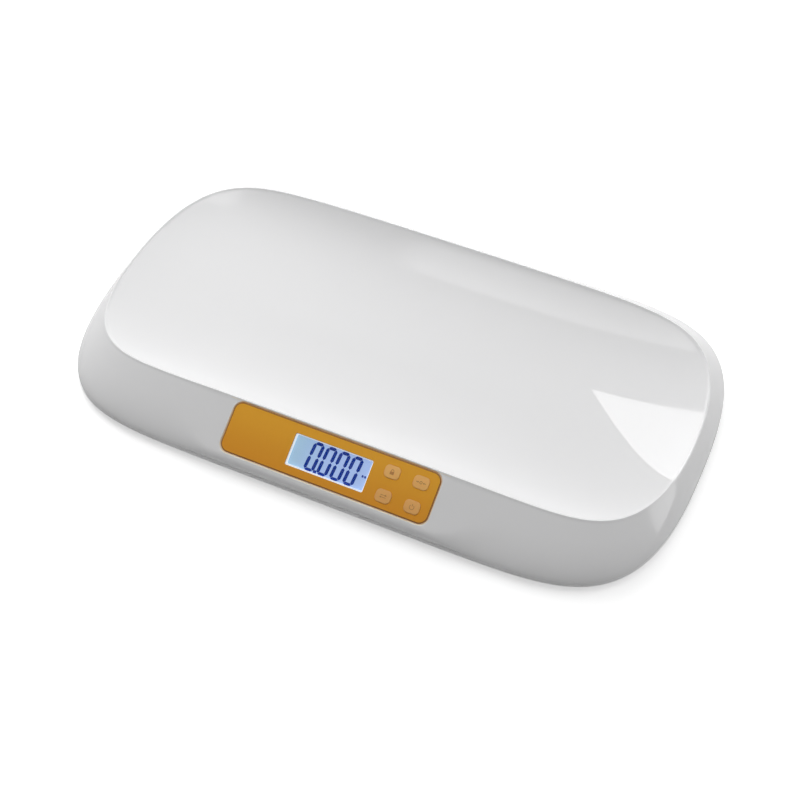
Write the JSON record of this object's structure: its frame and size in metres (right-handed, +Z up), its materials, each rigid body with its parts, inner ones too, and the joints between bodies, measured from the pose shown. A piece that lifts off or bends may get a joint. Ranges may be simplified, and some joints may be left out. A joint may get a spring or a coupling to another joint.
{
  "type": "digital baby weighing scale",
  "caption": "Flat digital baby scale: dished oblong tray over a base pan, sloped front display panel with sprung keys, load-cell feet and an underside battery well.",
  "frame": {"origin": "middle of the footprint, on the table under the rubber feet", "axes": "+X along the tray to the right of someone who faces the display, +Y towards the back edge, +Z up; the display panel faces -Y"},
  "size_m": [0.55, 0.314, 0.044],
  "materials": {
    "white_shell": "glossy white moulded plastic",
    "white_base": "fine-textured white moulded plastic",
    "orange_overlay": "glossy printed overlay, amber orange",
    "orange_key": "lighter orange key caps",
    "clear_window": "clear plastic window",
    "lcd": "light blue display glass",
    "light_guide": "milky light guide",
    "inner_white": "natural white plastic",
    "black_plastic": "black plastic",
    "circuit_board": "green solder mask",
    "steel": "stamped steel",
    "nickel": "bright nickel plating",
    "grey_rubber": "dark soft rubber",
    "foot_grey": "pale grey plastic",
    "battery_wrap": "plain wrapped cell",
    "grey_lead": "grey lead sheath",
    "red_lead": "red lead sheath"
  },
  "bodies": {
    "scale": {"top_shell": "white_shell", "base_shell": "white_base", "housing_screws": "nickel", "display_overlay": "orange_overlay", "lcd_window": "clear_window", "lcd_frame": "inner_white", "lcd_glass": "lcd", "lcd_backlight": "light_guide", "contact_strip": "grey_rubber", "main_board": "circuit_board", "board_parts": "black_plastic", "board_sockets": "inner_white", "board_screws": "nickel", "hold_switch": "black_plastic", "tare_switch": "black_plastic", "unit_switch": "black_plastic", "power_switch": "black_plastic", "battery_cells": "battery_wrap", "battery_springs": "nickel", "battery_plates": "nickel", "battery_lead": "red_lead", "foot_pad_front_left": "grey_rubber", "foot_pad_front_right": "grey_rubber", "foot_pad_back_left": "grey_rubber", "foot_pad_back_right": "grey_rubber", "foot_cap_front_left": "foot_grey", "foot_cap_front_right": "foot_grey", "foot_cap_back_left": "foot_grey", "foot_cap_back_right": "foot_grey", "load_cell_front_left": "steel", "load_cell_front_right": "steel", "load_cell_back_left": "steel", "load_cell_back_right": "steel", "cell_retainer_front_left": "inner_white", "cell_retainer_front_right": "inner_white", "cell_retainer_back_left": "inner_white", "cell_retainer_back_right": "inner_white", "strain_gauges": "inner_white", "sensor_leads": "grey_lead"},
    "hold_button": {"hold_key": "orange_key", "hold_plunger": "black_plastic"},
    "tare_button": {"tare_key": "orange_key", "tare_plunger": "black_plastic"},
    "unit_button": {"unit_key": "orange_key", "unit_plunger": "black_plastic"},
    "power_button": {"power_key": "orange_key", "power_plunger": "black_plastic"},
    "cover": {"battery_cover": "white_base"}
  },
  "joints": [
    {"name": "hold_press", "type": "slide", "parent": "scale", "child": "hold_button", "axis": [0, 0.5189, -0.8549], "range_m": [0, 0.0006], "stiffness_N_per_m": 2500},
    {"name": "tare_press", "type": "slide", "parent": "scale", "child": "tare_button", "axis": [0, 0.5189, -0.8549], "range_m": [0, 0.0006], "stiffness_N_per_m": 2500},
    {"name": "unit_press", "type": "slide", "parent": "scale", "child": "unit_button", "axis": [0, 0.5189, -0.8549], "range_m": [0, 0.0006], "stiffness_N_per_m": 2500},
    {"name": "power_press", "type": "slide", "parent": "scale", "child": "power_button", "axis": [0, 0.5189, -0.8549], "range_m": [0, 0.0006], "stiffness_N_per_m": 2500},
    {"name": "cover_tilt", "type": "hinge", "parent": "scale", "child": "cover", "pos_m": [0, -0.0038, 0.004], "axis": [-1, 0, 0], "range_deg": [0, 60]}
  ]
}
